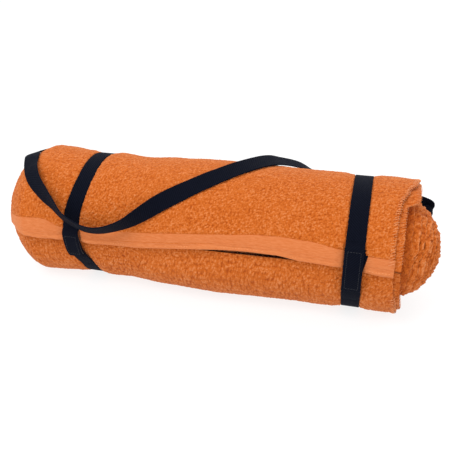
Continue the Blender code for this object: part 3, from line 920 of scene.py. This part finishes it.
def band_depth(angle):
    """Depth of a band's inner face: it spans the step under the free end of the towel."""
    around = np.asarray(angle, float) % 360
    share = (around - EDGE_ANGLE) / (BRIDGE_END - EDGE_ANGLE)
    bridging = (around > EDGE_ANGLE) & (around < BRIDGE_END)
    following = (around >= BRIDGE_END) & (around < EDGE_ANGLE + 360 * (1 - DIP_STARTS))
    landing = turn_depth((EDGE_ANGLE + 360 - BRIDGE_END) / 360)
    under = turn_depth(np.clip((EDGE_ANGLE + 360 - around) / 360, 0, 0.9999))
    return BAND_DEPTH + np.where(bridging, share * landing, np.where(following, under, 0.0))


def around_roll(middle, first, last, lift, thickness=WEBBING, shift=None):
    """Middles, across and outward directions of a strip around the roll."""
    angle = np.linspace(first, last, max(8, int(abs(last - first) * 1.5)))
    rise = lift(angle) if callable(lift) else lift + 0 * angle
    x = middle + (shift(angle) if shift else 0 * angle)
    middles = place(x, angle, band_depth(angle) - rise - thickness / 2)
    heading = np.gradient(middles, axis=0)
    heading[:, 0] = 0
    heading /= np.linalg.norm(heading, axis=1, keepdims=True)
    across = np.tile([1.0, 0, 0], (len(angle), 1))
    out = np.cross(heading, across)
    radial = middles - np.array([0, 0, CENTRE_HEIGHT])
    radial[:, 0] = 0
    out *= np.sign(np.sum(out * radial, axis=1, keepdims=True))
    return middles, across, out


def patch(name, node, middle, first, last, lift, thickness, material, body, pitch, height, seed):
    """A strip of hook or loop tape, with its tufts on the face that grips."""
    middles, across, out = around_roll(middle, first, last, lift, thickness)
    at, lengths = resampled(middles, 0.55 * MM)
    middle_at, out_at = (
        np.stack([np.interp(at, lengths, values[:, k]) for k in range(3)], -1) for values in (middles, out)
    )
    side = np.linspace(-PATCH_WIDTH / 2, PATCH_WIDTH / 2, 32)[None, :]
    along = at[:, None]
    tufts = loops(along / pitch + 0 * side, side / pitch + 0 * along, seed) * height
    facing = 1.0 if thickness > 0.9 * MM else -1.0
    flat = thickness / 2 - height * 0.9
    grip = middle_at[:, None] + np.array([1.0, 0, 0]) * side[..., None]
    top = grip + out_at[:, None] * (facing * (flat + tufts))[..., None]
    base = grip - out_at[:, None] * facing * thickness / 2
    points = np.concatenate((top, base[:, ::-1]), axis=1)
    rows, columns, _ = points.shape
    faces = tube_faces(rows, columns)
    faces.append(list(range(columns))[::-1])
    faces.append(list(range((rows - 1) * columns, rows * columns)))
    made = new_object(name, points.reshape(-1, 3).tolist(), faces, material, body)
    recalculate(made)
    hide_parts(node)
    return made


def box_stitching(name, node, middle, width, first, last, lift, body, cross=False):
    """A rectangle of black stitches, with a cross in it where it holds a load."""
    half = width / 2
    corners = [(-half, first), (half, first), (half, last), (-half, last)]
    runs = list(zip(corners, corners[1:] + corners[:1]))
    if cross:
        runs += [(corners[0], corners[2]), (corners[1], corners[3])]
    paths = []
    for (x_a, angle_a), (x_b, angle_b) in runs:
        share = np.linspace(0, 1, 40)
        x, angle = middle + x_a + (x_b - x_a) * share, angle_a + (angle_b - angle_a) * share
        points = place(x, angle, band_depth(angle) - lift)
        above = place(x, angle, band_depth(angle) - lift - MM)
        paths += stitches_along(points, (above - points) / MM, 2.0 * MM, 0.6 * MM, 0.10 * MM)
    return threads(name, paths, 0.2 * MM, MATERIALS["black"], body, [node])


def closure(side):
    middle = BAND_PLACES[side]
    hinge, free_end = FLAP_ANGLES[side]
    lower_end = hinge + FLAP_RISE + 0.6
    loop_face = WEBBING + GAP
    hook_face = loop_face + LOOP_PATCH + GAP
    flap_face = hook_face + HOOK_PATCH + GAP
    body = f"{side}_closure"
    skew = {"left": -2.0 * MM, "right": 5.0 * MM}[side]
    seed = {"left": 41, "right": 51}[side]

    def under_layer(angle):
        """The end that the flap closes on lies askew, so a corner of it shows."""
        return skew * smooth((angle + 360 - hinge - 27) / -22) * (angle < -180)

    band = webbing_strip(
        f"{side}_band_webbing",
        *around_roll(middle, hinge, lower_end - 360, 0.0, shift=under_layer),
        BAND_WIDTH,
        "roll",
        seed=seed,
    )
    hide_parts(f"{side}_band")

    def climb(angle):
        return flap_face * smooth((angle - hinge) / FLAP_RISE * 0.85 + 0.0)

    flap = webbing_strip(
        f"{side}_flap_webbing",
        *around_roll(middle, hinge, free_end, climb),
        BAND_WIDTH,
        None,
        seed=seed + 1,
    )
    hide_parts(f"{side}_flap")
    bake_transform(flap)

    first, last = lower_end + 1, free_end - 1.5
    patch(
        f"{side}_loop_tape", f"{side}_loop_patch", middle, first, last, loop_face, LOOP_PATCH,
        MATERIALS["loop"], "roll", 0.9 * MM, 0.25 * MM, seed + 2,
    )
    patch(
        f"{side}_hook_tape", f"{side}_hook_patch", middle, first, last, hook_face, HOOK_PATCH,
        MATERIALS["hook"], body, 1.3 * MM, 0.35 * MM, seed + 3,
    )
    box_stitching(
        f"{side}_flap_stitches", f"{side}_hook_stitching", middle, PATCH_WIDTH - 3 * MM,
        lower_end + 2.5, free_end - 3, flap_face + WEBBING, body,
    )
    anchor = (STRAP_HINGE_ANGLE - STRAP_END_LENGTH, STRAP_HINGE_ANGLE)
    end = webbing_strip(
        f"{side}_strap_end_webbing",
        *around_roll(middle, anchor[0], anchor[1] + 0.4, loop_face),
        STRAP_WIDTH,
        "roll",
        seed=seed + 4,
    )
    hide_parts(f"{side}_strap_end")
    box_stitching(
        f"{side}_anchor_stitches", f"{side}_anchor_stitching", middle, STRAP_WIDTH - 6 * MM,
        anchor[0] + 2, anchor[1] - 2, loop_face + WEBBING, "roll", cross=True,
    )


# The carry strap: its route is the CAD part's. Each row is a place along the roll in millimetres, an angle,
# the height of the strap's middle over the outline in millimetres, and the way its face looks: along the
# roll, down around it and out from it.
OUT, IN = (0, 0, 1), (0, 0, -1)
STRAP_ROUTE = (
    (-165, -94.5, -0.7, OUT),
    (-165, -89, 0.2, OUT),
    (-169, -81, 1.8, OUT),
    (-181, -73, 2.4, OUT),
    (-199, -65, 2.8, OUT),
    (-219, -56, 3.0, OUT),
    (-236, -45, 3.0, (-0.15, 0, 1)),
    (-246, -32, 3.0, (-0.3, 0, 1)),
    (-251, -18, 3.0, (-0.35, 0, 1)),
    (-252, -5, 3.2, (-0.35, 0, 1)),
    (-248, 6, 3.8, (-0.32, -0.05, 1)),
    (-241, 16, 4.8, (-0.3, -0.14, 0.94)),
    (-234, 27, 6.2, (-0.33, -0.1, 0.94)),
    (-225, 38, 8.2, (-0.38, 0.02, 0.92)),
    (-215, 47, 9.8, (-0.37, 0.25, 0.9)),
    (-200, 56, 10.8, (-0.41, 0.4, 0.82)),
    (-186, 63, 11.4, (-0.49, 0.54, 0.68)),
    (-171, 71, 12.0, (-0.48, 0.64, 0.6)),
    (-155, 76, 12.2, (-0.31, 0.75, 0.59)),
    (-139, 79, 12.0, (-0.1, 0.8, 0.59)),
    (-123, 79, 11.6, (0.11, 0.84, 0.53)),
    (-106, 76, 11.0, (0.32, 0.81, 0.5)),
    (-89, 71, 10.0, (0.45, 0.7, 0.55)),
    (-72, 63, 8.4, (0.42, 0.52, 0.75)),
    (-54, 53, 6.0, (0.28, 0.3, 0.9)),
    (-33, 42, 4.2, (0.14, 0.12, 1)),
    (-10, 30, 3.4, (0.1, 0.14, 1)),
    (8, 20, 3.6, (0.1, 0.2, 0.97)),
    (22, 11, 4.7, (0.12, 0.26, 0.95)),
    (35, 2, 5.6, (0.16, 0.32, 0.93)),
    (46, -8, 5.7, (0.2, 0.42, 0.88)),
    (56, -18, 6.0, (0.2, 0.55, 0.81)),
    (66, -27, 6.2, (0.15, 0.6, 0.79)),
    (77, -34, 7.0, (0.1, 0.66, 0.75)),
    (90, -40, 6.6, (0.1, 0.62, 0.78)),
    (106, -47, 5.2, (0.05, 0.4, 0.92)),
    (125, -54, 4.4, OUT),
    (147, -62, 5.2, OUT),
    (174, -69, 7.0, OUT),
    (201, -73, 8.6, OUT),
    (226, -76, 9.2, OUT),
    (241.5, -78.5, 8.4, (0.6, 0, 1)),
    (247.5, -80.5, 5.6, (1, 0, 0)),
    (242, -82.5, 3.0, (0.6, 0, -1)),
    (228, -84, 2.0, IN),
    (208, -85, 2.0, IN),
    (186, -85, 2.0, IN),
    (170, -87, 1.0, IN),
    (163, -90.5, 0.0, IN),
    (163, -94.5, -0.7, IN),
)


def spline(values, at):
    """Catmull-Rom through rows of values."""
    i = np.minimum(at.astype(int), len(values) - 2)
    t = (at - i)[:, None]
    before, a = values[np.maximum(i - 1, 0)], values[i]
    b, after = values[i + 1], values[np.minimum(i + 2, len(values) - 1)]
    return 0.5 * (
        2 * a
        + (b - before) * t
        + (2 * before - 5 * a + 4 * b - after) * t * t
        + (3 * a - before - 3 * b + after) * t**3
    )


def clearing(points, needed):
    """How far points have to move out of the roll to clear it."""
    angle = np.degrees(np.arctan2(-points[:, 1], points[:, 2] - CENTRE_HEIGHT))
    x = points[:, 0] - lean(points[:, 0], angle)
    radius = np.hypot(points[:, 1], points[:, 2] - CENTRE_HEIGHT)
    top = outline(angle, swell(x))
    for middle in BAND_PLACES.values():
        on_band = np.abs(x - middle) < BAND_WIDTH / 2 + 3 * MM
        top = np.where(on_band, np.maximum(top, outline(angle) - band_depth(angle) + WEBBING), top)
    push = np.maximum(0.0, top * narrowing(x) + needed - radius)
    return np.where((x > LEFT_END - LEFT_PEEP) & (x < RIGHT_END), push, 0.0)


def carry_strap():
    route = np.array([row[:3] for row in STRAP_ROUTE])
    looks = np.array([row[3] for row in STRAP_ROUTE], float)
    side, up = np.sin(np.radians(route[:, 1])), np.cos(np.radians(route[:, 1]))
    middles = place(route[:, 0] * MM, route[:, 1], -route[:, 2] * MM)
    none = 0 * side
    along, down, out = (
        np.stack(rows, -1) for rows in ((none + 1, none, none), (none, -up, -side), (none, -side, up))
    )
    faces_out = along * looks[:, :1] + down * looks[:, 1:2] + out * looks[:, 2:]
    faces_out /= np.linalg.norm(faces_out, axis=1, keepdims=True)
    fine = np.linspace(0, len(route) - 1, 40 * (len(route) - 1) + 1)
    points, face = spline(middles, fine), spline(faces_out, fine)
    heading = np.gradient(points, axis=0)
    heading /= np.linalg.norm(heading, axis=1, keepdims=True)
    face -= heading * np.sum(face * heading, axis=1, keepdims=True)
    face /= np.linalg.norm(face, axis=1, keepdims=True)
    across = np.cross(heading, face)
    push = np.zeros(len(points))
    for share in (-0.5, -0.25, 0.0, 0.25, 0.5):
        for under in (-0.5, 0.5):
            spot = points + across * STRAP_WIDTH * share + face * WEBBING * under
            push = np.maximum(push, clearing(spot, STRAP_CLEARANCE))
    window = np.hanning(61)
    push = np.convolve(np.pad(push, 30, mode="edge"), window / window.sum(), mode="valid")
    radial = points - np.array([0, 0, CENTRE_HEIGHT])
    radial[:, 0] = 0
    radial /= np.linalg.norm(radial, axis=1, keepdims=True)
    points = points + radial * push[:, None]
    made = webbing_strip("carry_strap_webbing", points, across, face, STRAP_WIDTH, None, seed=61)
    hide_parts("carry_strap")
    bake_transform(made)
    return made


camera()
studio()
MATERIALS = {
    "terry": terry_material(),
    "border": border_material("woven_border_cotton"),
    "hem": border_material("hem_cotton", 1.02),
    "webbing": webbing_material(),
    "orange": thread_material("orange_cotton_thread", (0.68, 0.20, 0.05), (0.86, 0.40, 0.17)),
    "black": thread_material("black_polyester_thread", (0.006, 0.007, 0.011), (0.016, 0.018, 0.026)),
    "hook": tape_material("hook_tape_nylon", (0.005, 0.005, 0.008), (0.025, 0.025, 0.032), 1100.0, 0.45),
    "loop": tape_material("loop_tape_nylon", (0.008, 0.008, 0.012), (0.040, 0.040, 0.050), 700.0, 0.9),
}
towel = terry_towel()
trims = [
    woven_border(),
    hem("end_hem_cloth", "end_hem", 0.7 * MM, 2.4 * MM, 0.0, 71),
    hem("inner_hem_cloth", "inner_ply_hem", 3.2 * MM, 4.0 * MM, 2.2, 73),
    hem_stitches(),
    overlock("outer_overlock", "outer_ply_overlock", side_edge, 0.0, 0.5 * MM, 81),
    overlock("inner_overlock", "inner_ply_overlock", inner_side_edge, 0.55, 0.3 * MM, 82),
]
for side in BAND_PLACES:
    closure(side)
carry_strap()
